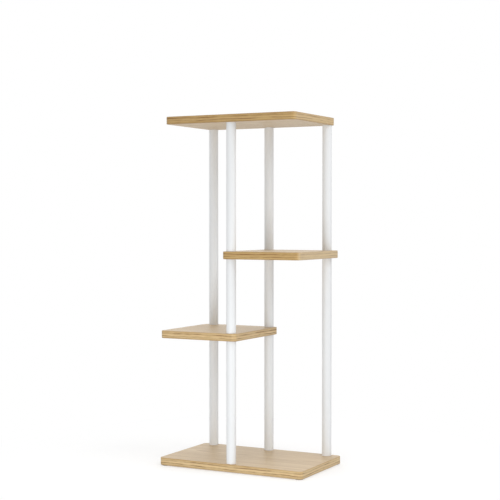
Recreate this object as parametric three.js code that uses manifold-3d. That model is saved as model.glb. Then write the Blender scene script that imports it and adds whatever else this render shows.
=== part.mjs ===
// A free-standing tiered plant stand. Four level boards are held apart by four
// upright steel posts: one at the front middle and three along the back. The
// bottom and top boards run the full width. Between them a half-width shelf
// reaches out to the left and another, higher up, to the right. A board is a
// laminated core with an edge band round it.
//
// Each post is a stack of tube lengths cut at every board it meets. Every tube
// end holds a threaded insert. A double-ended stud joins the tubes above and
// below a half shelf, and countersunk bolts close the stack at the bottom and
// top boards. Four thin pads under the bottom board touch the floor.
//
// Units are millimetres, +Z is up, +X runs to the right seen from the front
// and the front faces -Y. The origin is on the floor, under the middle of the
// bottom board.

import * as THREE from 'three';
import { mergeVertices } from 'three/addons/utils/BufferGeometryUtils.js';
import Module from 'manifold-3d';

// ---- Boards ----
const topBoardWidth = 382;
const boardDepth = 250;
const boardThickness = 20;
const bottomBoardOverhang = 20; // past each end of the top board
const lowerShelfOverhang = 16; // past the left end of the top board
const middleShelfOverhang = 12; // past the right end of the top board
const halfShelfReach = 20; // past the axes of the two middle posts
const boardCornerRadius = 12; // seen from above
const boardArris = 1.5; // rounding along the top and bottom edges
const edgeBandThickness = 2;
const edgeBandFit = 0.3; // gap between the band and the core, in place of the glue

// ---- Tubes ----
const tubeDiameter = 25.4;
const tubeWall = 1.2;
const lowerTubeLength = 320; // bottom board to lower shelf
const middleTubeLength = 193; // lower shelf to middle shelf
const upperTubeLength = 335; // middle shelf to top board
const tubeInset = 16.5; // axis to the boards' long edges and the top board's ends

// ---- Threaded inserts in the tube ends ----
const insertLength = 18;
const insertChamfer = 1;
const insertFit = 0.3; // radial gap between insert and tube

// ---- Studs and bolts ----
const threadDiameter = 8;
const threadFit = 0.3; // radial gap between thread and insert
const threadEngagement = 15; // length of thread inside an insert
const threadChamfer = 0.8; // at the tip
const boardHoleFit = 0.5; // radial gap between thread and board
const boltHeadDiameter = 16;
const boltHeadRim = 0.8; // height of the straight rim above the 90 degree cone
const boltHeadFit = 0.3; // gap around the head in its countersink
const boltHeadDepth = 0.3; // head top below the board's surface
const socketAcrossFlats = 5;
const socketDepth = 3;

// ---- Foot pads ----
const padDiameter = 20;
const padThickness = 2;
const padInset = 14; // pad centre to the bottom board's edges
const padChamfer = 0.5;

// ---- Facets ----
const cornerSegments = 8; // per rounded board corner
const arrisSegments = 2;
const tubeSides = 32;
const fastenerSides = 16;

const wasm = await Module();
wasm.setup();

// ---- Heights, from the floor up ----
const bottomBoardBase = padThickness;
const lowerShelfBase = bottomBoardBase + boardThickness + lowerTubeLength;
const middleShelfBase = lowerShelfBase + boardThickness + middleTubeLength;
const topBoardBase = middleShelfBase + boardThickness + upperTubeLength;

// ---- Plan ----
const topEnd = topBoardWidth / 2;
const bottomEnd = topEnd + bottomBoardOverhang;
const postX = topEnd - tubeInset;
const postY = boardDepth / 2 - tubeInset;

// The boards, each with its ends along X and the height of its underside.
const boards = {
  bottom: { node: 'bottom_board', left: -bottomEnd, right: bottomEnd, base: bottomBoardBase },
  lower: {
    node: 'lower_left_shelf',
    left: -topEnd - lowerShelfOverhang,
    right: halfShelfReach,
    base: lowerShelfBase,
  },
  middle: {
    node: 'middle_right_shelf',
    left: -halfShelfReach,
    right: topEnd + middleShelfOverhang,
    base: middleShelfBase,
  },
  top: { node: 'top_board', left: -topEnd, right: topEnd, base: topBoardBase },
};

// The posts, each with the boards that it meets and its tubes from the floor up.
const posts = [
  {
    name: 'front',
    x: 0,
    y: -postY,
    meets: ['bottom', 'lower', 'middle', 'top'],
    tubes: ['lower', 'middle', 'upper'],
  },
  {
    name: 'rear_middle',
    x: 0,
    y: postY,
    meets: ['bottom', 'lower', 'middle', 'top'],
    tubes: ['lower', 'middle', 'upper'],
  },
  {
    name: 'rear_left',
    x: -postX,
    y: postY,
    meets: ['bottom', 'lower', 'top'],
    tubes: ['lower', 'upper'],
  },
  {
    name: 'rear_right',
    x: postX,
    y: postY,
    meets: ['bottom', 'middle', 'top'],
    tubes: ['lower', 'upper'],
  },
];

// ---- Materials ----
const lightOak = new THREE.MeshStandardMaterial({ color: 0xd6bf9c, roughness: 0.5, metalness: 0 });
const oakEdgeBand = new THREE.MeshStandardMaterial({ color: 0xd0ab72, roughness: 0.5, metalness: 0 });
const whitePowderCoat = new THREE.MeshStandardMaterial({ color: 0xf1f0ee, roughness: 0.35, metalness: 0 });
const zincPlate = new THREE.MeshStandardMaterial({ color: 0xb9bcc0, roughness: 0.35, metalness: 1 });
const greyRubber = new THREE.MeshStandardMaterial({ color: 0x8d8d8b, roughness: 0.8, metalness: 0 });

const stand = new THREE.Group();

function addMesh(name, geometry, material, x, y, z) {
  const mesh = new THREE.Mesh(geometry, material);
  mesh.name = name;
  mesh.position.set(x, y, z);
  stand.add(mesh);
  return mesh;
}

// A solid turned about Z from a profile of [radius, height] points. The profile
// climbs on the outside, and it starts and ends on the axis or closes on itself.
function turned(profile) {
  const points = profile.map(([radius, height]) => new THREE.Vector2(radius, height));
  return new THREE.LatheGeometry(points, fastenerSides).rotateX(Math.PI / 2);
}

// A closed geometry as a solid: shared vertices are merged, and the triangles
// that shrink to a line where a profile meets its axis are left out.
function solidOf(geometry) {
  const bare = geometry.clone();
  bare.deleteAttribute('normal');
  bare.deleteAttribute('uv');
  const merged = mergeVertices(bare);
  const corners = merged.index.array;
  const triangles = [];
  for (let i = 0; i < corners.length; i += 3) {
    const [a, b, c] = corners.slice(i, i + 3);
    if (a !== b && b !== c && c !== a) {
      triangles.push(a, b, c);
    }
  }
  return new wasm.Manifold(new wasm.Mesh({
    numProp: 3,
    vertProperties: new Float32Array(merged.attributes.position.array),
    triVerts: new Uint32Array(triangles),
  }));
}

// The geometry with every cutter taken out of it.
function cutBy(geometry, cutters) {
  let solid = solidOf(geometry);
  for (const cutter of cutters) {
    solid = solid.subtract(solidOf(cutter));
  }
  const { vertProperties, triVerts } = solid.getMesh();
  const cut = new THREE.BufferGeometry();
  cut.setAttribute('position', new THREE.BufferAttribute(vertProperties, 3));
  cut.setIndex(new THREE.BufferAttribute(triVerts, 1));
  cut.computeVertexNormals();
  return cut;
}

// ---- Fastener shapes ----
const threadRadius = threadDiameter / 2;
const headRadius = boltHeadDiameter / 2;
const headHeight = boltHeadRim + headRadius - threadRadius;

// A stud stands on Z with its middle at the origin.
function studGeometry() {
  const half = boardThickness / 2 + threadEngagement;
  return turned([
    [0, -half],
    [threadRadius - threadChamfer, -half],
    [threadRadius, -half + threadChamfer],
    [threadRadius, half - threadChamfer],
    [threadRadius - threadChamfer, half],
    [0, half],
  ]);
}

// A bolt has the top of its head at the origin and its thread along +Z.
function boltGeometry() {
  const length = boardThickness - boltHeadDepth + threadEngagement;
  const body = turned([
    [0, 0],
    [headRadius, 0],
    [headRadius, boltHeadRim],
    [threadRadius, headHeight],
    [threadRadius, length - threadChamfer],
    [threadRadius - threadChamfer, length],
    [0, length],
  ]);
  const socketRadius = socketAcrossFlats / Math.sqrt(3);
  const socket = new THREE.CylinderGeometry(socketRadius, socketRadius, 2 * socketDepth, 6);
  return cutBy(body, [socket.rotateX(Math.PI / 2)]);
}

// The space that a bolt takes in a board. Its mouth is at the origin and it
// runs along +Z, past both faces of the board.
function boltHole() {
  const past = boltHeadDiameter;
  const mouthRadius = headRadius + boltHeadFit;
  const holeRadius = threadRadius + boardHoleFit;
  const coneDrop = (Math.SQRT2 - 1) * boltHeadFit; // keeps the same gap along the cone
  const rimDepth = boltHeadDepth + boltHeadRim + coneDrop;
  return turned([
    [0, -past],
    [mouthRadius, -past],
    [mouthRadius, rimDepth],
    [holeRadius, rimDepth + mouthRadius - holeRadius],
    [holeRadius, boardThickness + past],
    [0, boardThickness + past],
  ]);
}

// The plain hole for a stud, past both faces of the board.
function studHole() {
  const past = boardThickness;
  const holeRadius = threadRadius + boardHoleFit;
  return turned([
    [0, -past],
    [holeRadius, -past],
    [holeRadius, boardThickness + past],
    [0, boardThickness + past],
  ]);
}

// ---- Boards ----
function boardOutline(width, depth, radius) {
  const x = width / 2 - radius;
  const y = depth / 2 - radius;
  const outline = new THREE.Shape();
  outline.absarc(x, y, radius, 0, Math.PI / 2);
  outline.absarc(-x, y, radius, Math.PI / 2, Math.PI);
  outline.absarc(-x, -y, radius, Math.PI, 1.5 * Math.PI);
  outline.absarc(x, -y, radius, 1.5 * Math.PI, 2 * Math.PI);
  outline.closePath();
  return outline;
}

// The core: the board's outline drawn in by the given margin, with square edges.
function boardCore(width, margin, thickness) {
  const radius = Math.max(boardCornerRadius - margin, 1);
  const outline = boardOutline(width - 2 * margin, boardDepth - 2 * margin, radius);
  return new THREE.ExtrudeGeometry(outline, {
    depth: thickness,
    curveSegments: cornerSegments / 2,
    bevelEnabled: false,
  });
}

// The edge band runs right round the board, flush with its faces. Its outer
// edges are rounded, and its inner wall stands clear of the core.
function edgeBand(width) {
  const arris = Math.min(boardArris, 0.9 * edgeBandThickness, 0.45 * boardThickness);
  const blank = new THREE.ExtrudeGeometry(boardOutline(width, boardDepth, boardCornerRadius), {
    depth: boardThickness - 2 * arris,
    curveSegments: cornerSegments / 2,
    bevelSize: arris,
    bevelOffset: -arris,
    bevelThickness: arris,
    bevelSegments: arrisSegments,
  });
  const inside = boardCore(width, edgeBandThickness, 3 * boardThickness);
  return cutBy(blank.translate(0, 0, arris), [inside.translate(0, 0, -boardThickness)]);
}

for (const [level, board] of Object.entries(boards)) {
  const middle = (board.left + board.right) / 2;
  const holes = [];
  for (const post of posts.filter((one) => one.meets.includes(level))) {
    const hole = level === 'bottom' || level === 'top' ? boltHole() : studHole();
    if (level === 'top') {
      hole.rotateX(Math.PI).translate(0, 0, boardThickness);
    }
    holes.push(hole.translate(post.x - middle, post.y, 0));
  }
  const width = board.right - board.left;
  const core = boardCore(width, edgeBandThickness + edgeBandFit, boardThickness);
  addMesh(board.node, cutBy(core, holes), lightOak, middle, 0, board.base);
  addMesh(`${board.node}_edge_band`, edgeBand(width), oakEdgeBand, middle, 0, board.base);
}

// ---- Tubes and their inserts ----
const tubeRadius = tubeDiameter / 2;
const tubeBore = tubeRadius - tubeWall;

function tubeGeometry(length) {
  const ring = new THREE.Shape();
  ring.absarc(0, 0, tubeRadius, 0, 2 * Math.PI);
  const bore = new THREE.Path();
  bore.absarc(0, 0, tubeBore, 0, 2 * Math.PI);
  ring.holes.push(bore);
  return new THREE.ExtrudeGeometry(ring, {
    depth: length,
    curveSegments: tubeSides / 2,
    bevelEnabled: false,
  });
}

// An insert stands on its outer face, which is flush with the tube's end. The
// chamfer eases its inner end into the tube.
function insertGeometry() {
  const outer = tubeBore - insertFit;
  const bore = threadRadius + threadFit;
  return turned([
    [bore, 0],
    [outer, 0],
    [outer, insertLength - insertChamfer],
    [outer - insertChamfer, insertLength],
    [bore, insertLength],
    [bore, 0],
  ]);
}

for (const post of posts) {
  post.tubes.forEach((section, i) => {
    const name = `${post.name}_tube_${section}`;
    const foot = boards[post.meets[i]].base + boardThickness;
    const head = boards[post.meets[i + 1]].base;
    addMesh(name, tubeGeometry(head - foot), whitePowderCoat, post.x, post.y, foot);
    addMesh(`${name}_foot_insert`, insertGeometry(), zincPlate, post.x, post.y, foot);
    const headInsert = insertGeometry().rotateX(Math.PI);
    addMesh(`${name}_head_insert`, headInsert, zincPlate, post.x, post.y, head);
  });
}

// ---- Studs and bolts ----
for (const post of posts) {
  for (const level of post.meets) {
    const board = boards[level];
    if (level === 'bottom') {
      const seat = board.base + boltHeadDepth;
      addMesh(`${post.name}_bolt_bottom`, boltGeometry(), zincPlate, post.x, post.y, seat);
    } else if (level === 'top') {
      const seat = board.base + boardThickness - boltHeadDepth;
      const bolt = boltGeometry().rotateX(Math.PI);
      addMesh(`${post.name}_bolt_top`, bolt, zincPlate, post.x, post.y, seat);
    } else {
      const middle = board.base + boardThickness / 2;
      addMesh(`${post.name}_stud_${level}`, studGeometry(), zincPlate, post.x, post.y, middle);
    }
  }
}

// ---- Foot pads ----
function padGeometry() {
  const radius = padDiameter / 2;
  return turned([
    [0, 0],
    [radius - padChamfer, 0],
    [radius, padChamfer],
    [radius, padThickness],
    [0, padThickness],
  ]);
}

const padX = bottomEnd - padInset;
const padY = boardDepth / 2 - padInset;
for (const [side, x] of [['left', -padX], ['right', padX]]) {
  for (const [end, y] of [['front', -padY], ['rear', padY]]) {
    addMesh(`foot_pad_${end}_${side}`, padGeometry(), greyRubber, x, y, 0);
  }
}

export default stand;
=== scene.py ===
from math import atan2, ceil, cos, pi, radians, sin, sqrt

import bmesh
import bpy
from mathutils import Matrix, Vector


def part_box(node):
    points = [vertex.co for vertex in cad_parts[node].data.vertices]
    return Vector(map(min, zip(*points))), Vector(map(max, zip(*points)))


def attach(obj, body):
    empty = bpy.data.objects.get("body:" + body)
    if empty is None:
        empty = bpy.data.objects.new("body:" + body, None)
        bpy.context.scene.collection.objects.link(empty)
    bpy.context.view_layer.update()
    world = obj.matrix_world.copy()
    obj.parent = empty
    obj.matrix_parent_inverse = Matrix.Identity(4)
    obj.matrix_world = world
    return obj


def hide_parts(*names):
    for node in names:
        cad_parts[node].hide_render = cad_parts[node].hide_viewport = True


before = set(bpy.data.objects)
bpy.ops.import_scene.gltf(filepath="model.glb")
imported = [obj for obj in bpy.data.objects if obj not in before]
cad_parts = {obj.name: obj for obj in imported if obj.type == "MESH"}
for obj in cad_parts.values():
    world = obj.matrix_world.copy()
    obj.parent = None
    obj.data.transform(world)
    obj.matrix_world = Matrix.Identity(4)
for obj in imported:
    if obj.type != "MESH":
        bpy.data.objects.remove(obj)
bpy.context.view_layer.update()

# ---- Board cores ----
# Each shelf is a 20 mm engineered board with an oak laminate on both faces, its grain along
# the length. Its corners are rounded and holes drilled for the bolts and studs: those in the
# two boards that close the stack are countersunk, those in the half shelves are plain.
BOARDS = ("bottom_board", "lower_left_shelf", "middle_right_shelf", "top_board")
CORNER_RADIUS = 0.012
CORNER_SEGMENTS = 14
BAND_THICKNESS = 0.002
GLUE_LINE = 0.00006
DRILL_RADIUS = 0.0045
DRILL_OVERRUN = 0.01
COUNTERSINK_CLEARANCE = 0.0003
COUNTERSINK_RIM = 0.0012
HOLE_SIDES = 64
HOLE_EASING = 0.00015
SMOOTH_UP_TO = 35  # degrees that smooth shading may turn over an edge
EASED_FROM = 40  # degrees from which an edge counts as sharp and is eased
BOARD_DRIFT = 7  # metres that the figure of the wood moves on for each metre of height
GRAIN_DEPTH = 0.00008
GRAIN_STRENGTH = 0.25


def srgb(red, green, blue):
    """A colour as a screen shows it, 0 to 255, in the linear values that a shader takes."""
    return (*(((part / 255 + 0.055) / 1.055) ** 2.4 for part in (red, green, blue)), 1)


def add_node(tree, kind, inputs=None, **settings):
    """A new node with its settings. Its inputs are values or the sockets that feed them."""
    node = tree.nodes.new(kind)
    for name, value in settings.items():
        setattr(node, name, value)
    for name, value in (inputs or {}).items():
        if isinstance(value, bpy.types.NodeSocket):
            tree.links.new(value, node.inputs[name])
        else:
            node.inputs[name].default_value = value
    return node


def calc(tree, operation, *values):
    """The result of a maths node."""
    return add_node(tree, "ShaderNodeMath", dict(enumerate(values)), operation=operation).outputs[0]


def between(tree, value, low, high):
    """A value from 0 to 1 carried over to the range between two levels."""
    return calc(tree, "MULTIPLY_ADD", value, high - low, low)


def smooth_step(tree, value, low, high, at_low=0, at_high=1):
    """A value that climbs smoothly from one level to the other as the input goes from low to high."""
    inputs = {"Value": value, "From Min": low, "From Max": high, "To Min": at_low, "To Max": at_high}
    return add_node(tree, "ShaderNodeMapRange", inputs, interpolation_type="SMOOTHSTEP").outputs[0]


def stretched_noise(tree, vector, cells, detail, roughness=0.5):
    """Noise between 0 and 1 with the given number of cells to the metre along X, Y and Z."""
    spread = add_node(tree, "ShaderNodeMapping", {"Vector": vector, "Scale": cells})
    inputs = {"Vector": spread.outputs[0], "Scale": 1, "Detail": detail, "Roughness": roughness}
    return add_node(tree, "ShaderNodeTexNoise", inputs).outputs[0]


def mixed(tree, factor, first, second):
    """Two colours mixed."""
    return add_node(tree, "ShaderNodeMix", {0: factor, 6: first, 7: second}, data_type="RGBA").outputs[2]


def new_group(name, inputs, outputs):
    """An empty shader node group with those sockets, and its input and output nodes."""
    group = bpy.data.node_groups.new(name, "ShaderNodeTree")
    for label, kind in inputs.items():
        group.interface.new_socket(label, in_out="INPUT", socket_type=kind)
    for label, kind in outputs.items():
        group.interface.new_socket(label, in_out="OUTPUT", socket_type=kind)
    return group, group.nodes.new("NodeGroupInput"), group.nodes.new("NodeGroupOutput")


def oak_grain_group():
    """Oak figure in a plane: X runs along the grain and Y across it, in metres, and Z only picks
    another stretch of the wood. Gives how dark the late wood is, the pores, and a height."""
    group, given, result = new_group(
        "oak grain",
        {"Vector": "NodeSocketVector", "Arches": "NodeSocketFloat", "Streaks": "NodeSocketFloat"},
        {"Late Wood": "NodeSocketFloat", "Pores": "NodeSocketFloat", "Height": "NodeSocketFloat"},
    )
    where = given.outputs["Vector"]
    along, across, stretch = add_node(group, "ShaderNodeSeparateXYZ", {0: where}).outputs

    # The grain wanders a few millimetres to either side as it runs.
    wander = stretched_noise(group, where, cells=(3.2, 11, 1), detail=2)
    across = calc(group, "ADD", across, between(group, wander, low=-0.008, high=0.008))

    # Growth rings cut at a slant: long nested arches round a heart that moves from board to board.
    slant = 0.085
    rings_per_metre = 105
    unevenness = 1.6

    def heart(rate, reach):
        """How far off the heart is one way, swinging at that rate from stretch to stretch."""
        return calc(group, "MULTIPLY", calc(group, "SINE", calc(group, "MULTIPLY", stretch, rate)), reach)

    long_way = calc(group, "SUBTRACT", along, heart(rate=2.3, reach=0.2))
    long_way = calc(group, "MULTIPLY", long_way, slant)
    wide_way = calc(group, "SUBTRACT", across, heart(rate=1.7, reach=0.05))
    squares = calc(group, "MULTIPLY_ADD", long_way, long_way, calc(group, "MULTIPLY", wide_way, wide_way))
    rings = calc(group, "MULTIPLY", calc(group, "SQRT", squares), rings_per_metre)
    uneven = stretched_noise(group, where, cells=(2.2, 30, 1), detail=3)
    rings = calc(group, "FRACT", calc(group, "MULTIPLY_ADD", uneven, unevenness, rings))
    darkening = smooth_step(group, rings, low=0.25, high=0.9)
    ring_end = smooth_step(group, rings, low=1, high=0.93)
    arches = calc(group, "MULTIPLY", darkening, ring_end)
    arches = calc(group, "MULTIPLY", arches, given.outputs["Arches"])

    # Straight streaks and fine fibres, both far longer than they are wide, and broad soft tones.
    ribbon = add_node(group, "ShaderNodeCombineXYZ", {0: along, 1: across, 2: stretch}).outputs[0]
    streaks = stretched_noise(group, ribbon, cells=(1.7, 135, 1), detail=4, roughness=0.62)
    streaks = smooth_step(group, streaks, low=0.36, high=0.68)
    streaks = calc(group, "MULTIPLY", streaks, given.outputs["Streaks"])
    fibres = stretched_noise(group, ribbon, cells=(22, 1300, 1), detail=2, roughness=0.6)
    tones = stretched_noise(group, where, cells=(1.3, 5, 1), detail=1)
    late = calc(group, "ADD", arches, streaks)
    late = calc(group, "ADD", late, between(group, fibres, low=-0.18, high=0.18))
    late = calc(group, "ADD", late, between(group, tones, low=-0.15, high=0.15))

    # Open pores: short dark dashes, thickest beside the late wood. The fibres stand up a little.
    fibre_height = 0.35
    dashes = stretched_noise(group, ribbon, cells=(95, 2300, 1), detail=2, roughness=0.7)
    dashes = smooth_step(group, dashes, low=0.56, high=0.7)
    pores = calc(group, "MULTIPLY", dashes, between(group, arches, low=0.4, high=1))
    height = calc(group, "SUBTRACT", calc(group, "MULTIPLY", fibres, fibre_height), pores)

    for label, value in (("Late Wood", late), ("Pores", pores), ("Height", height)):
        group.links.new(value, result.inputs[label])
    return group


oak_grain = oak_grain_group()


def oak_figure(tree, vector, arches, streaks):
    """The outputs of the oak grain on that vector, with how strong its arches and streaks are."""
    inputs = {"Vector": vector, "Arches": arches, "Streaks": streaks}
    return add_node(tree, "ShaderNodeGroup", inputs, node_tree=oak_grain).outputs


def new_material(name):
    """A material with only its Principled shader and output, with its node tree and the shader."""
    material = bpy.data.materials.new(name)
    material.use_nodes = True
    tree = material.node_tree
    return material, tree, tree.nodes["Principled BSDF"]


def dress(tree, shader, colour, roughness, height, depth, strength):
    """Gives a shader its colour and roughness, and a fine relief of that depth in metres."""
    relief = add_node(tree, "ShaderNodeBump", {"Strength": strength, "Distance": depth, "Height": height})
    tree.links.new(colour, shader.inputs["Base Color"])
    tree.links.new(roughness, shader.inputs["Roughness"])
    tree.links.new(relief.outputs[0], shader.inputs["Normal"])


def light_oak_material():
    """Satin oak laminate: pale beige, with a finely printed grain pressed lightly into the film."""
    pale = srgb(215, 194, 160)
    brown = srgb(170, 138, 96)
    pore_brown = srgb(140, 104, 64)
    pore_share = 0.4

    material, tree, shader = new_material("light oak laminate")
    here = add_node(tree, "ShaderNodeTexCoord").outputs["Object"]
    laid = add_node(tree, "ShaderNodeMapping", {"Vector": here, "Scale": (1, 1, BOARD_DRIFT)}).outputs[0]
    grain = oak_figure(tree, laid, arches=0.5, streaks=0.44)
    colour = mixed(tree, grain["Late Wood"], pale, brown)
    colour = mixed(tree, calc(tree, "MULTIPLY", grain["Pores"], pore_share), colour, pore_brown)
    roughness = between(tree, grain["Pores"], low=0.4, high=0.52)
    dress(tree, shader, colour, roughness, grain["Height"], GRAIN_DEPTH, GRAIN_STRENGTH)
    return material


def finished(piece, name, material, slot, *nodes):
    """Names a piece, gives it its material, and puts it in place of its CAD nodes."""
    piece.name = name
    piece.data.name = name
    piece.data.materials.clear()
    piece.data.materials.append(material)
    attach(piece, "root")
    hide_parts(*nodes)


def select_where(piece, kind, test):
    """Edit mode with only those edges or faces selected that the test holds for."""
    bpy.ops.object.mode_set(mode="EDIT")
    bpy.ops.mesh.select_mode(type=kind)
    bpy.ops.mesh.select_all(action="DESELECT")
    shape = bmesh.from_edit_mesh(piece.data)
    for part in shape.edges if kind == "EDGE" else shape.faces:
        part.select_set(test(part))
    bmesh.update_edit_mesh(piece.data)


def rounded_block(low, high, radius):
    """A block between two corners, with its four upright edges rounded."""
    bpy.ops.object.select_all(action="DESELECT")
    bpy.ops.mesh.primitive_cube_add(size=1, location=(low + high) / 2, scale=high - low)
    bpy.ops.object.transform_apply(location=True, rotation=True, scale=True)
    block = bpy.context.object

    def upright(edge):
        return abs(edge.verts[0].co.z - edge.verts[1].co.z) > (high.z - low.z) / 2

    select_where(block, "EDGE", upright)
    bpy.ops.mesh.bevel(offset=radius, segments=CORNER_SEGMENTS, affect="EDGES")
    bpy.ops.object.mode_set(mode="OBJECT")
    return block


def make_active(piece):
    """Leaves only that piece selected, and active."""
    bpy.ops.object.select_all(action="DESELECT")
    piece.select_set(True)
    bpy.context.view_layer.objects.active = piece


def apply_modifier(piece, kind, **settings):
    """Adds a modifier of that kind with its settings and applies it."""
    make_active(piece)
    modifier = piece.modifiers.new(kind.lower(), kind)
    for name, value in settings.items():
        setattr(modifier, name, value)
    bpy.ops.object.modifier_apply(modifier=modifier.name)


def cut_away(piece, cutter):
    """Takes the cutter's shape out of a piece, and deletes the cutter."""
    apply_modifier(piece, "BOOLEAN", object=cutter, operation="DIFFERENCE", solver="EXACT")
    bpy.data.objects.remove(cutter)


def ease_edges(piece, width, segments, sharp_from=EASED_FROM):
    """Rounds every edge that turns by more than that many degrees."""
    turn = radians(sharp_from)
    apply_modifier(piece, "BEVEL", width=width, segments=segments, limit_method="ANGLE", angle_limit=turn)


def smooth(piece):
    """Smooth shading that turns only over the eased edges, so that flat faces stay flat."""
    make_active(piece)
    bpy.ops.object.shade_smooth_by_angle(angle=radians(SMOOTH_UP_TO))
    apply_modifier(piece, "WEIGHTED_NORMAL", mode="FACE_AREA", weight=100, keep_sharp=True)


def turned(foot, profile, sides):
    """A solid turned about an upright axis: a disc at the first radius and height of the profile,
    extruded and drawn in or out to each of the next ones. Heights are counted from the foot."""
    radius, height = profile[0]
    start = (foot.x, foot.y, foot.z + height)
    bpy.ops.object.select_all(action="DESELECT")
    bpy.ops.mesh.primitive_circle_add(vertices=sides, radius=radius, fill_type="NGON", location=start)
    bpy.ops.object.transform_apply(location=True, rotation=True, scale=True)
    bpy.ops.object.mode_set(mode="EDIT")
    bpy.ops.mesh.select_all(action="SELECT")
    for next_radius, next_height in profile[1:]:
        rise = (0, 0, next_height - height)
        bpy.ops.mesh.extrude_region_move(TRANSFORM_OT_translate={"value": rise})
        ratio = next_radius / radius
        centre = (foot.x, foot.y, foot.z + next_height)
        bpy.ops.transform.resize(value=(ratio, ratio, 1), center_override=centre)
        radius, height = next_radius, next_height
    bpy.ops.mesh.select_all(action="SELECT")
    bpy.ops.mesh.normals_make_consistent(inside=False)
    bpy.ops.object.mode_set(mode="OBJECT")
    return bpy.context.object


def drill(core, low, high, fastener):
    """Takes the hole for one bolt or stud out of a core, with its countersink for a bolt."""
    fastener_low, fastener_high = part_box(fastener)
    axis = (fastener_low + fastener_high) / 2
    thickness = high.z - low.z
    bottom = -DRILL_OVERRUN
    top = thickness + DRILL_OVERRUN
    profile = [(DRILL_RADIUS, bottom), (DRILL_RADIUS, top)]
    if "bolt" in fastener:
        mouth = (fastener_high.x - fastener_low.x) / 2 + COUNTERSINK_CLEARANCE
        neck = COUNTERSINK_RIM + mouth - DRILL_RADIUS
        profile = [(mouth, bottom), (mouth, COUNTERSINK_RIM), (DRILL_RADIUS, neck), (DRILL_RADIUS, top)]
    if "bolt_top" in fastener:
        profile = [(radius, thickness - height) for radius, height in reversed(profile)]
    cut_away(core, turned(Vector((axis.x, axis.y, low.z)), profile, HOLE_SIDES))


def post_fasteners(board):
    """The bolts or studs that pass through a board."""
    low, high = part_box(board)
    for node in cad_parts:
        if "_bolt_" in node or "_stud_" in node:
            bolt_low, bolt_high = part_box(node)
            axis = (bolt_low + bolt_high) / 2
            if bolt_low.z < high.z and bolt_high.z > low.z and low.x < axis.x < high.x:
                yield node


light_oak = light_oak_material()
for board in BOARDS:
    low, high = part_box(board)
    band_low, band_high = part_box(f"{board}_edge_band")
    margin = Vector((BAND_THICKNESS + GLUE_LINE, BAND_THICKNESS + GLUE_LINE, 0))
    core = rounded_block(band_low + margin, band_high - margin, CORNER_RADIUS - margin.x)
    for fastener in post_fasteners(board):
        drill(core, low, high, fastener)
    ease_edges(core, HOLE_EASING, segments=2)
    smooth(core)
    finished(core, f"{board}_core", light_oak, "light_oak", board)

# ---- Edge bands ----
# A 2 mm band of golden oak runs right round each board and is glued to the core. Its outer
# arrises are rounded after gluing. Dark and light streaks run along it, unbroken round the
# corners, and its two ends meet at the middle of the rear edge.
ARRIS_RADIUS = 0.0015
ARRIS_SEGMENTS = 5
LEVEL = 0.99  # how upright a level face's normal is
EDGE_MAP = "round_the_edge"


def hollow_through(piece, wall):
    """Leaves a wall of that thickness round an upright block or bar: both ends are inset, the
    inner faces deleted, and the two inner loops bridged into the inside of the wall."""
    select_where(piece, "FACE", lambda face: abs(face.normal.z) > LEVEL)
    bpy.ops.mesh.inset(thickness=wall, depth=0)
    bpy.ops.mesh.delete(type="FACE")
    shape = bmesh.from_edit_mesh(piece.data)
    bpy.ops.mesh.select_mode(type="EDGE")
    for edge in shape.edges:
        edge.select_set(edge.is_boundary)
    bmesh.update_edit_mesh(piece.data)
    bpy.ops.mesh.bridge_edge_loops()
    bpy.ops.mesh.select_all(action="SELECT")
    bpy.ops.mesh.normals_make_consistent(inside=False)
    bpy.ops.object.mode_set(mode="OBJECT")


def round_the_edge_map(band, low, high):
    """A UV map in metres: U is the way round the board, V the height on its edge."""
    centre = (low + high) / 2
    straight_x = (high.x - low.x) / 2 - CORNER_RADIUS
    straight_y = (high.y - low.y) / 2 - CORNER_RADIUS
    quarter = CORNER_RADIUS * pi / 2
    half_round = 2 * (straight_x + quarter + straight_y)

    def way_round(point):
        """How far a point is round the outline, from the middle of the rear edge."""
        x = point.x - centre.x
        y = point.y - centre.y
        over_x = abs(x) - straight_x
        over_y = abs(y) - straight_y
        if over_x > 0 and over_y > 0:
            side = straight_x + quarter * atan2(over_x, over_y) / (pi / 2)
        elif over_x > 0:
            side = straight_x + quarter + straight_y - abs(y)
        else:
            side = abs(x)
        if y < 0:
            side = half_round - side
        return side if x > 0 else 2 * half_round - side

    layer = band.data.uv_layers.new(name=EDGE_MAP)
    corners = band.data.loops
    points = band.data.vertices
    for face in band.data.polygons:
        ways = [way_round(points[corners[i].vertex_index].co) for i in face.loop_indices]
        past_joint = max(ways) - min(ways) > half_round
        for i, way in zip(face.loop_indices, ways):
            if past_joint and way < half_round:
                way += 2 * half_round
            layer.data[i].uv = (way, points[corners[i].vertex_index].co.z - low.z)


def edge_line(tree, height, strip, centre, half_width, least, shift):
    """A line along the edge at that height: 1 in its middle, fading to the least it keeps where
    the figure of the wood breaks it. The shift picks another stretch of the wood."""
    distance = calc(tree, "ABSOLUTE", calc(tree, "SUBTRACT", height, centre))
    line = smooth_step(tree, distance, low=half_width, high=0)
    moved = add_node(tree, "ShaderNodeMapping", {"Vector": strip, "Location": (shift, 0, shift)}).outputs[0]
    figure = stretched_noise(tree, moved, cells=(19, 90, 1), detail=4, roughness=0.6)
    kept = smooth_step(tree, figure, low=0.36, high=0.62, at_low=least)
    return calc(tree, "MULTIPLY", line, kept)


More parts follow.
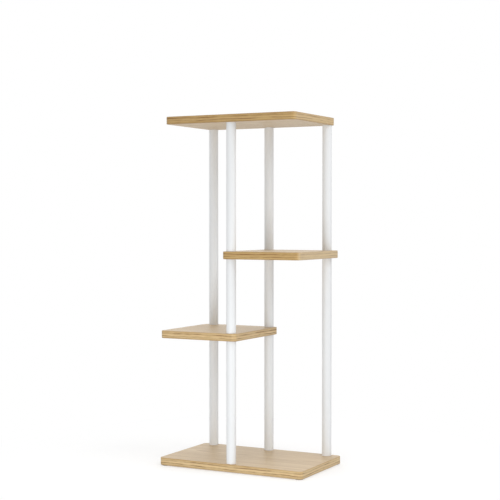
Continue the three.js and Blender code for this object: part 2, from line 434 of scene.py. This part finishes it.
def oak_edge_material(name, pale, brown, streak_brown, light_line, painted_end_light):
    """Golden oak edging: a thin dark streak near the top and a weaker one below the middle,
    lighter wood between them, a short mottle all over, and browner arrises. Painted light makes
    the board's short ends paler than its long edges by the last value."""
    # The pale colour that is painted on the short ends as light.
    painted_light_colour_on_ends = srgb(238, 221, 188)
    joint_brown = srgb(96, 70, 42)
    pore_brown = srgb(130, 95, 55)
    sway_reach = 0.007
    lower_share = 0.9
    foot_share = 0.4
    light_share = 0.55
    arris_share = 0.6
    joint_share = 0.7
    pore_share = 0.35

    material, tree, shader = new_material(name)
    strip = add_node(tree, "ShaderNodeUVMap", uv_map=EDGE_MAP).outputs[0]
    way, rise = add_node(tree, "ShaderNodeSeparateXYZ", {0: strip}).outputs[:2]
    here = add_node(tree, "ShaderNodeTexCoord").outputs
    level = add_node(tree, "ShaderNodeSeparateXYZ", {0: here["Object"]}).outputs[2]
    stretch = calc(tree, "MULTIPLY", level, BOARD_DRIFT)
    laid = add_node(tree, "ShaderNodeCombineXYZ", {0: way, 1: rise, 2: stretch}).outputs[0]
    grain = oak_figure(tree, laid, arches=0, streaks=0.5)

    # The streaks sway a few millimetres up and down as they run round the board.
    sway = stretched_noise(tree, laid, cells=(13, 30, 1), detail=3)
    height = calc(tree, "MULTIPLY_ADD", sway, sway_reach, rise)
    upper = edge_line(tree, height, laid, centre=0.0176, half_width=0.0018, least=0.15, shift=3)
    lower = edge_line(tree, height, laid, centre=0.0103, half_width=0.0018, least=0.15, shift=11)
    foot = edge_line(tree, height, laid, centre=0.0056, half_width=0.0012, least=0, shift=19)
    light = edge_line(tree, height, laid, centre=0.0134, half_width=0.0022, least=0.3, shift=29)
    streaks = calc(tree, "MAXIMUM", upper, calc(tree, "MULTIPLY", lower, lower_share))
    streaks = calc(tree, "MAXIMUM", streaks, calc(tree, "MULTIPLY", foot, foot_share))

    mottle = stretched_noise(tree, laid, cells=(55, 330, 1), detail=3, roughness=0.65)
    late = calc(tree, "ADD", grain["Late Wood"], between(tree, mottle, low=-0.55, high=0.55))
    colour = mixed(tree, late, pale, brown)
    colour = mixed(tree, calc(tree, "MULTIPLY", light, light_share), colour, light_line)
    colour = mixed(tree, streaks, colour, streak_brown)

    # Browner arrises, painted light on the short ends, and the butt joint where the band's ends meet.
    lower_arris = smooth_step(tree, rise, low=0.0036, high=0.0004, at_high=arris_share)
    upper_arris = smooth_step(tree, rise, low=0.0168, high=0.0194, at_high=arris_share)
    colour = mixed(tree, calc(tree, "ADD", lower_arris, upper_arris), colour, brown)
    # Painted light: faces that look along X, the board's short ends, are mixed towards a pale colour.
    sideways = add_node(tree, "ShaderNodeSeparateXYZ", {0: here["Normal"]}).outputs[0]
    sideways = calc(tree, "ABSOLUTE", sideways)
    ends = smooth_step(tree, sideways, low=0.4, high=0.95, at_high=painted_end_light)
    colour = mixed(tree, ends, colour, painted_light_colour_on_ends)
    joint = smooth_step(tree, way, low=0.00022, high=0.00008, at_high=joint_share)
    colour = mixed(tree, joint, colour, joint_brown)

    colour = mixed(tree, calc(tree, "MULTIPLY", grain["Pores"], pore_share), colour, pore_brown)
    roughness = between(tree, streaks, low=0.36, high=0.46)
    dress(tree, shader, colour, roughness, grain["Height"], GRAIN_DEPTH, GRAIN_STRENGTH)
    return material


# Pale wood, browner wood, dark streaks and light line of the lower boards and the upper ones.
# The upper ones are darker: painted shade on the upper boards' bands.
golden = (srgb(215, 188, 140), srgb(166, 130, 79), srgb(126, 84, 40), srgb(232, 202, 152))
shade_darkened_golden = (srgb(197, 166, 110), srgb(150, 110, 53), srgb(126, 82, 34), srgb(210, 179, 124))
lower_bands = oak_edge_material("golden oak edge band", *golden, painted_end_light=0)
middle_band = oak_edge_material("shade-darkened golden oak edge band, painted end light", *shade_darkened_golden, painted_end_light=0.35)
top_band = oak_edge_material("shade-darkened golden oak edge band", *shade_darkened_golden, painted_end_light=0.12)
for board, oak_edge in zip(BOARDS, (lower_bands, lower_bands, middle_band, top_band)):
    node = f"{board}_edge_band"
    low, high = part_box(node)
    band = rounded_block(low, high, CORNER_RADIUS)
    hollow_through(band, BAND_THICKNESS)
    middle = (low + high) / 2

    def outer_arris(edge):
        """Whether an edge runs level along the outside, at the top or bottom."""
        level_faces = [face for face in edge.link_faces if abs(face.normal.z) > LEVEL]
        if len(level_faces) != 1:
            return False
        wall = next(face for face in edge.link_faces if face not in level_faces)
        outward = wall.calc_center_median() - middle
        return wall.normal.x * outward.x + wall.normal.y * outward.y > 0

    select_where(band, "EDGE", outer_arris)
    bpy.ops.mesh.bevel(offset=ARRIS_RADIUS, segments=ARRIS_SEGMENTS, affect="EDGES")
    bpy.ops.object.mode_set(mode="OBJECT")
    smooth(band)
    round_the_edge_map(band, low, high)
    finished(band, f"{board}_band", oak_edge, "oak_edge_band", node)

# ---- Tubes ----
# The posts are 25.4 mm steel tube with a 1.2 mm wall, cut at each board and deburred, then
# powder coated white. The coat is smooth, with a faint orange peel and a soft gloss.
TUBE_WALL = 0.0012
TUBE_SIDES = 96
END_EASING = 0.0005


def white_coat_material():
    """White powder coat whose tone and gloss drift slightly, with a fine orange peel."""
    shade = srgb(230, 232, 234)
    white = srgb(236, 238, 239)

    material, tree, shader = new_material("white powder coat")
    here = add_node(tree, "ShaderNodeTexCoord").outputs["Object"]
    drift = stretched_noise(tree, here, cells=(14, 14, 5), detail=3)
    peel = stretched_noise(tree, here, cells=(620, 620, 620), detail=2, roughness=0.4)
    colour = mixed(tree, drift, shade, white)
    roughness = between(tree, drift, low=0.26, high=0.34)
    dress(tree, shader, colour, roughness, peel, depth=0.00006, strength=0.2)
    return material


def upright_cylinder(low, high, sides):
    """A cylinder that fills the space between two corners."""
    bpy.ops.object.select_all(action="DESELECT")
    bpy.ops.mesh.primitive_cylinder_add(
        vertices=sides, radius=(high.x - low.x) / 2, depth=high.z - low.z, location=(low + high) / 2
    )
    bpy.ops.object.transform_apply(location=True, rotation=True, scale=True)
    return bpy.context.object


white_coat = white_coat_material()
tubes = [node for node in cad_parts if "_tube_" in node and not node.endswith("_insert")]
for node in sorted(tubes):
    tube = upright_cylinder(*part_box(node), TUBE_SIDES)
    hollow_through(tube, TUBE_WALL)
    ease_edges(tube, END_EASING, segments=3)
    smooth(tube)
    finished(tube, f"{node}_coated", white_coat, "white_tube", node)

# ---- Inserts, studs and bolts ----
# Turned steel parts with a bright zinc plate. A barbed, threaded insert is pressed into every
# tube end, threaded studs join the tubes through the half shelves, and countersunk socket
# bolts close the stacks from below and above.
TURNED_SIDES = 64
THREAD_PITCH = 0.00125
THREAD_DEPTH = 0.00077
THREAD_OVERCUT = 0.00005
THREAD_STEPS = 32
GROOVE_MOUTH = 0.875 * THREAD_PITCH
GROOVE_ROOT = 0.17 * THREAD_PITCH
SHANK_RADIUS = 0.004
SHANK_CHAMFER = 0.0008
HEAD_RIM = 0.0008
HEAD_EASING = 0.00025
PLAIN_NECK = 0.003
SOCKET_ACROSS_FLATS = 0.005
SOCKET_DEPTH = 0.003
BORE_RADIUS = 0.0043
BORE_CHAMFER = 0.0005
BORE_OVERRUN = 0.002
BARBS = 4
BARB_HEIGHT = 0.0005
BARB_SHOULDER = 0.0002
INSERT_RIM = 0.0024
INSERT_CHAMFER = 0.001
ORIGIN = Vector((0, 0, 0))


def zinc_material(name, polish, dull):
    """Bright zinc plate on turned steel: a cool grey metal with cloudy patches, whose roughness
    goes from the polished value to the dull one."""
    dark_grey = srgb(178, 182, 188)
    light_grey = srgb(212, 214, 217)

    material, tree, shader = new_material(name)
    here = add_node(tree, "ShaderNodeTexCoord").outputs["Object"]
    patches = stretched_noise(tree, here, cells=(220, 220, 220), detail=3)
    tool_marks = stretched_noise(tree, here, cells=(300, 300, 5200), detail=2)
    colour = mixed(tree, patches, dark_grey, light_grey)
    roughness = between(tree, patches, polish, dull)
    dress(tree, shader, colour, roughness, tool_marks, depth=0.00003, strength=0.15)
    shader.inputs["Metallic"].default_value = 1
    return material


def cut_thread(piece, radius, outward, foot, top):
    """Cuts a helical groove round the upright axis at the origin, between two heights. It goes
    into a bar from outside where outward is 1, or into the wall of a bore where it is -1."""
    mouth = radius + outward * THREAD_OVERCUT
    root = radius - outward * THREAD_DEPTH
    bpy.ops.object.select_all(action="DESELECT")
    bpy.ops.mesh.primitive_plane_add(size=1, location=((mouth + root) / 2, 0, foot), rotation=(pi / 2, 0, 0))
    groove = bpy.context.object
    groove.scale = (abs(mouth - root), GROOVE_MOUTH, 1)
    bpy.ops.object.transform_apply(location=True, rotation=True, scale=True)

    def at_root(edge):
        return all(abs(corner.co.x - root) < THREAD_OVERCUT / 2 for corner in edge.verts)

    select_where(groove, "EDGE", at_root)
    narrowing = (1, 1, GROOVE_ROOT / GROOVE_MOUTH)
    bpy.ops.transform.resize(value=narrowing, center_override=(root, 0, foot))
    bpy.ops.mesh.select_all(action="SELECT")
    bpy.ops.mesh.delete(type="ONLY_FACE")
    bpy.ops.object.mode_set(mode="OBJECT")
    apply_modifier(
        groove,
        "SCREW",
        axis="Z",
        angle=2 * pi,
        screw_offset=THREAD_PITCH,
        iterations=ceil((top - foot) / THREAD_PITCH),
        steps=THREAD_STEPS,
        render_steps=THREAD_STEPS,
        use_merge_vertices=False,
    )
    bpy.ops.object.mode_set(mode="EDIT")
    bpy.ops.mesh.select_all(action="SELECT")
    bpy.ops.mesh.fill_holes(sides=0)
    bpy.ops.mesh.select_all(action="SELECT")
    bpy.ops.mesh.normals_make_consistent(inside=False)
    bpy.ops.object.mode_set(mode="OBJECT")
    cut_away(piece, groove)


def turned_insert(radius, length):
    """An insert standing on its outer face, with barbs round it and a threaded bore."""
    first_groove = INSERT_RIM + BARB_SHOULDER
    profile = [(radius, 0), (radius, INSERT_RIM), (radius - BARB_HEIGHT, first_groove)]
    barb_length = (length - INSERT_CHAMFER - first_groove) / BARBS
    for barb in range(BARBS):
        foot = first_groove + barb * barb_length
        profile += [(radius, foot + BARB_SHOULDER), (radius - BARB_HEIGHT, foot + barb_length)]
    profile.append((radius - INSERT_CHAMFER, length))
    insert = turned(ORIGIN, profile, TURNED_SIDES)
    mouth = BORE_RADIUS + BORE_CHAMFER + BORE_OVERRUN
    bore = [
        (mouth, -BORE_OVERRUN),
        (BORE_RADIUS, BORE_CHAMFER),
        (BORE_RADIUS, length - BORE_CHAMFER),
        (mouth, length + BORE_OVERRUN),
    ]
    cut_away(insert, turned(ORIGIN, bore, TURNED_SIDES))
    cut_thread(insert, BORE_RADIUS, outward=-1, foot=-THREAD_PITCH, top=length + THREAD_PITCH)
    smooth(insert)
    return insert


def turned_stud(length):
    """A threaded stud standing on the origin, chamfered at both ends."""
    profile = [
        (SHANK_RADIUS - SHANK_CHAMFER, 0),
        (SHANK_RADIUS, SHANK_CHAMFER),
        (SHANK_RADIUS, length - SHANK_CHAMFER),
        (SHANK_RADIUS - SHANK_CHAMFER, length),
    ]
    stud = turned(ORIGIN, profile, TURNED_SIDES)
    cut_thread(stud, SHANK_RADIUS, outward=1, foot=-THREAD_PITCH, top=length + THREAD_PITCH)
    smooth(stud)
    return stud


def turned_bolt(head, length):
    """A countersunk bolt standing on its head, with a hexagon socket and an eased head."""
    neck = HEAD_RIM + head - SHANK_RADIUS
    profile = [
        (head, 0),
        (head, HEAD_RIM),
        (SHANK_RADIUS, neck),
        (SHANK_RADIUS, length - SHANK_CHAMFER),
        (SHANK_RADIUS - SHANK_CHAMFER, length),
    ]
    bolt = turned(ORIGIN, profile, TURNED_SIDES)
    bpy.ops.object.select_all(action="DESELECT")
    bpy.ops.mesh.primitive_cylinder_add(
        vertices=6, radius=SOCKET_ACROSS_FLATS / sqrt(3), depth=2 * SOCKET_DEPTH, location=ORIGIN
    )
    cut_away(bolt, bpy.context.object)
    ease_edges(bolt, HEAD_EASING, segments=3)
    cut_thread(bolt, SHANK_RADIUS, outward=1, foot=neck + PLAIN_NECK, top=length + THREAD_PITCH)
    smooth(bolt)
    return bolt


def set_in_place(model, node, material, slot, turned_over):
    """A copy of the model on the foot of its CAD node, or hanging from its top, turned over."""
    low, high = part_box(node)
    middle = (low + high) / 2
    piece = bpy.data.objects.new(node, model.data.copy())
    bpy.context.scene.collection.objects.link(piece)
    piece.location = (middle.x, middle.y, high.z if turned_over else low.z)
    piece.rotation_euler.x = pi if turned_over else 0
    make_active(piece)
    bpy.ops.object.transform_apply(location=True, rotation=True, scale=True)
    finished(piece, f"{node}_plated", material, slot, node)


insert_zinc = zinc_material("zinc plate on inserts", polish=0.34, dull=0.5)
fastener_zinc = zinc_material("zinc plate on fasteners", polish=0.24, dull=0.38)
for kind, material, slot in (
    ("_insert", insert_zinc, "zinc_insert"),
    ("_stud_", fastener_zinc, "zinc_fastener"),
    ("_bolt_", fastener_zinc, "zinc_fastener"),
):
    nodes = sorted(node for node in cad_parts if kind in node)
    low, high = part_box(nodes[0])
    radius = (high.x - low.x) / 2
    length = high.z - low.z
    if kind == "_insert":
        model = turned_insert(radius, length)
    elif kind == "_stud_":
        model = turned_stud(length)
    else:
        model = turned_bolt(radius, length)
    for node in nodes:
        set_in_place(model, node, material, slot, node.endswith(("_head_insert", "_bolt_top")))
    bpy.data.objects.remove(model)

# ---- Foot pads ----
# Four round pads of grey rubber are stuck under the corners of the bottom board. Each has
# rounded edges and, underneath, a shallow dish that helps it grip the floor.
PAD_SIDES = 64
PAD_EASING = 0.0006
PAD_EASED_FROM = 60
DISH_MARGIN = 0.0028
DISH_DEPTH = 0.0003


def grey_rubber_material():
    """Matt grey rubber with a fine speckle."""
    dark_grey = srgb(118, 118, 116)
    light_grey = srgb(158, 158, 155)

    material, tree, shader = new_material("grey rubber")
    here = add_node(tree, "ShaderNodeTexCoord").outputs["Object"]
    speckle = stretched_noise(tree, here, cells=(900, 900, 900), detail=3, roughness=0.7)
    colour = mixed(tree, speckle, dark_grey, light_grey)
    roughness = between(tree, speckle, low=0.75, high=0.9)
    dress(tree, shader, colour, roughness, speckle, depth=0.0001, strength=0.4)
    return material


grey_rubber = grey_rubber_material()
for node in sorted(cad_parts):
    if node.startswith("foot_pad"):
        pad = upright_cylinder(*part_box(node), PAD_SIDES)
        select_where(pad, "FACE", lambda face: face.normal.z < -LEVEL)
        bpy.ops.mesh.inset(thickness=DISH_MARGIN, depth=0)
        bpy.ops.mesh.inset(thickness=DISH_DEPTH, depth=-DISH_DEPTH)
        bpy.ops.object.mode_set(mode="OBJECT")
        ease_edges(pad, PAD_EASING, segments=4, sharp_from=PAD_EASED_FROM)
        smooth(pad)
        finished(pad, f"{node}_rubber", grey_rubber, "grey_pad", node)

# ---- Floor ----
# A plain white floor takes the stand's shadow close to it and runs out into the white
# background further off. Seen from below it lets the underside of the stand show. Two thirds
# of it lie behind the stand.
FLOOR_SIZE = 30
FLOOR_SETBACK = FLOOR_SIZE / 6
SHADOW_REACH = 0.3
FADE_REACH = 0.8
NEAR_WHITE = 0.45
FLOOR_WHITE = (0.8, 0.8, 0.8, 1)
PURE_WHITE = (1, 1, 1, 1)
FLOOR_BOUNCE = 0.86

bpy.ops.object.select_all(action="DESELECT")
bpy.ops.mesh.primitive_plane_add(size=FLOOR_SIZE, location=(0, FLOOR_SETBACK, 0))
bpy.ops.object.transform_apply(location=True, rotation=True, scale=True)
floor = bpy.context.object
floor.name = "floor"
floor_material = bpy.data.materials.new("white floor")
floor_material.use_nodes = True
tree = floor_material.node_tree
tree.nodes.clear()
here = add_node(tree, "ShaderNodeTexCoord").outputs["Object"]
far_off = add_node(tree, "ShaderNodeVectorMath", {0: here}, operation="LENGTH").outputs["Value"]
rays = add_node(tree, "ShaderNodeLightPath").outputs
to_camera = rays["Is Camera Ray"]
paint = mixed(tree, to_camera, FLOOR_WHITE, PURE_WHITE)
matt = add_node(tree, "ShaderNodeBsdfDiffuse", {"Color": paint}).outputs[0]
plain = add_node(tree, "ShaderNodeEmission", {"Color": PURE_WHITE, "Strength": 1}).outputs[0]
whiteness = smooth_step(tree, far_off, low=SHADOW_REACH, high=FADE_REACH, at_low=NEAR_WHITE)
fade = calc(tree, "MULTIPLY", to_camera, whiteness)
above = add_node(tree, "ShaderNodeMixShader", {0: fade, 1: matt, 2: plain}).outputs[0]
glow = add_node(tree, "ShaderNodeEmission", {"Color": PURE_WHITE, "Strength": FLOOR_BOUNCE}).outputs[0]
above = add_node(tree, "ShaderNodeMixShader", {0: rays["Is Diffuse Ray"], 1: above, 2: glow}).outputs[0]
below = add_node(tree, "ShaderNodeBsdfTransparent").outputs[0]
under = add_node(tree, "ShaderNodeNewGeometry").outputs["Backfacing"]
shown = add_node(tree, "ShaderNodeMixShader", {0: under, 1: above, 2: below}).outputs[0]
add_node(tree, "ShaderNodeOutputMaterial", {"Surface": shown})
floor.data.materials.append(floor_material)

# ---- Light ----
# Soft studio light: an even white surround, which the camera and every reflection see as
# plain white, and four softboxes: low in front, on the right, behind on the left, overhead.
SURROUND_LIGHT = 0.5

world = bpy.data.worlds.new("white studio")
bpy.context.scene.world = world
world.use_nodes = True
tree = world.node_tree
tree.nodes.clear()
rays = add_node(tree, "ShaderNodeLightPath").outputs
seen = calc(tree, "MAXIMUM", rays["Is Camera Ray"], rays["Is Glossy Ray"])
seen = calc(tree, "MAXIMUM", seen, rays["Is Transmission Ray"])
strength = between(tree, seen, SURROUND_LIGHT, 1)
surround = add_node(tree, "ShaderNodeBackground", {"Color": PURE_WHITE, "Strength": strength})
add_node(tree, "ShaderNodeOutputWorld", {"Surface": surround.outputs[0]})

# Each softbox's place, the point it is aimed at, its width in metres and its power in watts.
LAMPS = (
    ("softbox_low_front", (0.35, -1.1, 0.06), (0, 0, 0.02), 0.9, 7.5),
    ("softbox_right", (2.0, -0.4, 2.2), (0, 0, 0.7), 1.6, 22),
    ("softbox_rear", (-1.6, 2.6, 1.3), (0, 0, 0.5), 1.8, 22),
    ("softbox_top", (-0.25, -0.5, 7.0), (0, 0, 0.4), 5.0, 185),
)
for name, place, aim, width, power in LAMPS:
    lamp = bpy.data.lights.new(name, "AREA")
    lamp.shape = "SQUARE"
    lamp.size = width
    lamp.energy = power
    softbox = bpy.data.objects.new(name, lamp)
    softbox.location = place
    softbox.rotation_euler = (Vector(aim) - Vector(place)).to_track_quat("-Z", "Y").to_euler()
    softbox.visible_camera = False
    softbox.visible_glossy = False
    bpy.context.scene.collection.objects.link(softbox)

# ---- Camera ----
# A long lens, at seven tenths of the stand's height, looks almost level from the right of the
# front. Its angles, distance and target were fitted to the outlines of the boards and posts.
AZIMUTH = radians(27.804)
ELEVATION = radians(1.393)
DISTANCE = 3.3409
TARGET = Vector((-0.0019, 0, 0.5764))
LENS = 89.93
SENSOR_WIDTH = 36

back = Vector((sin(AZIMUTH) * cos(ELEVATION), -cos(AZIMUTH) * cos(ELEVATION), sin(ELEVATION)))
lens = bpy.data.cameras.new("camera")
lens.lens = LENS
lens.sensor_width = SENSOR_WIDTH
camera = bpy.data.objects.new("camera", lens)
camera.location = TARGET + back * DISTANCE
camera.rotation_euler = (-back).to_track_quat("-Z", "Y").to_euler()
bpy.context.scene.collection.objects.link(camera)
bpy.context.scene.camera = camera
bpy.context.scene.view_settings.view_transform = "Standard"
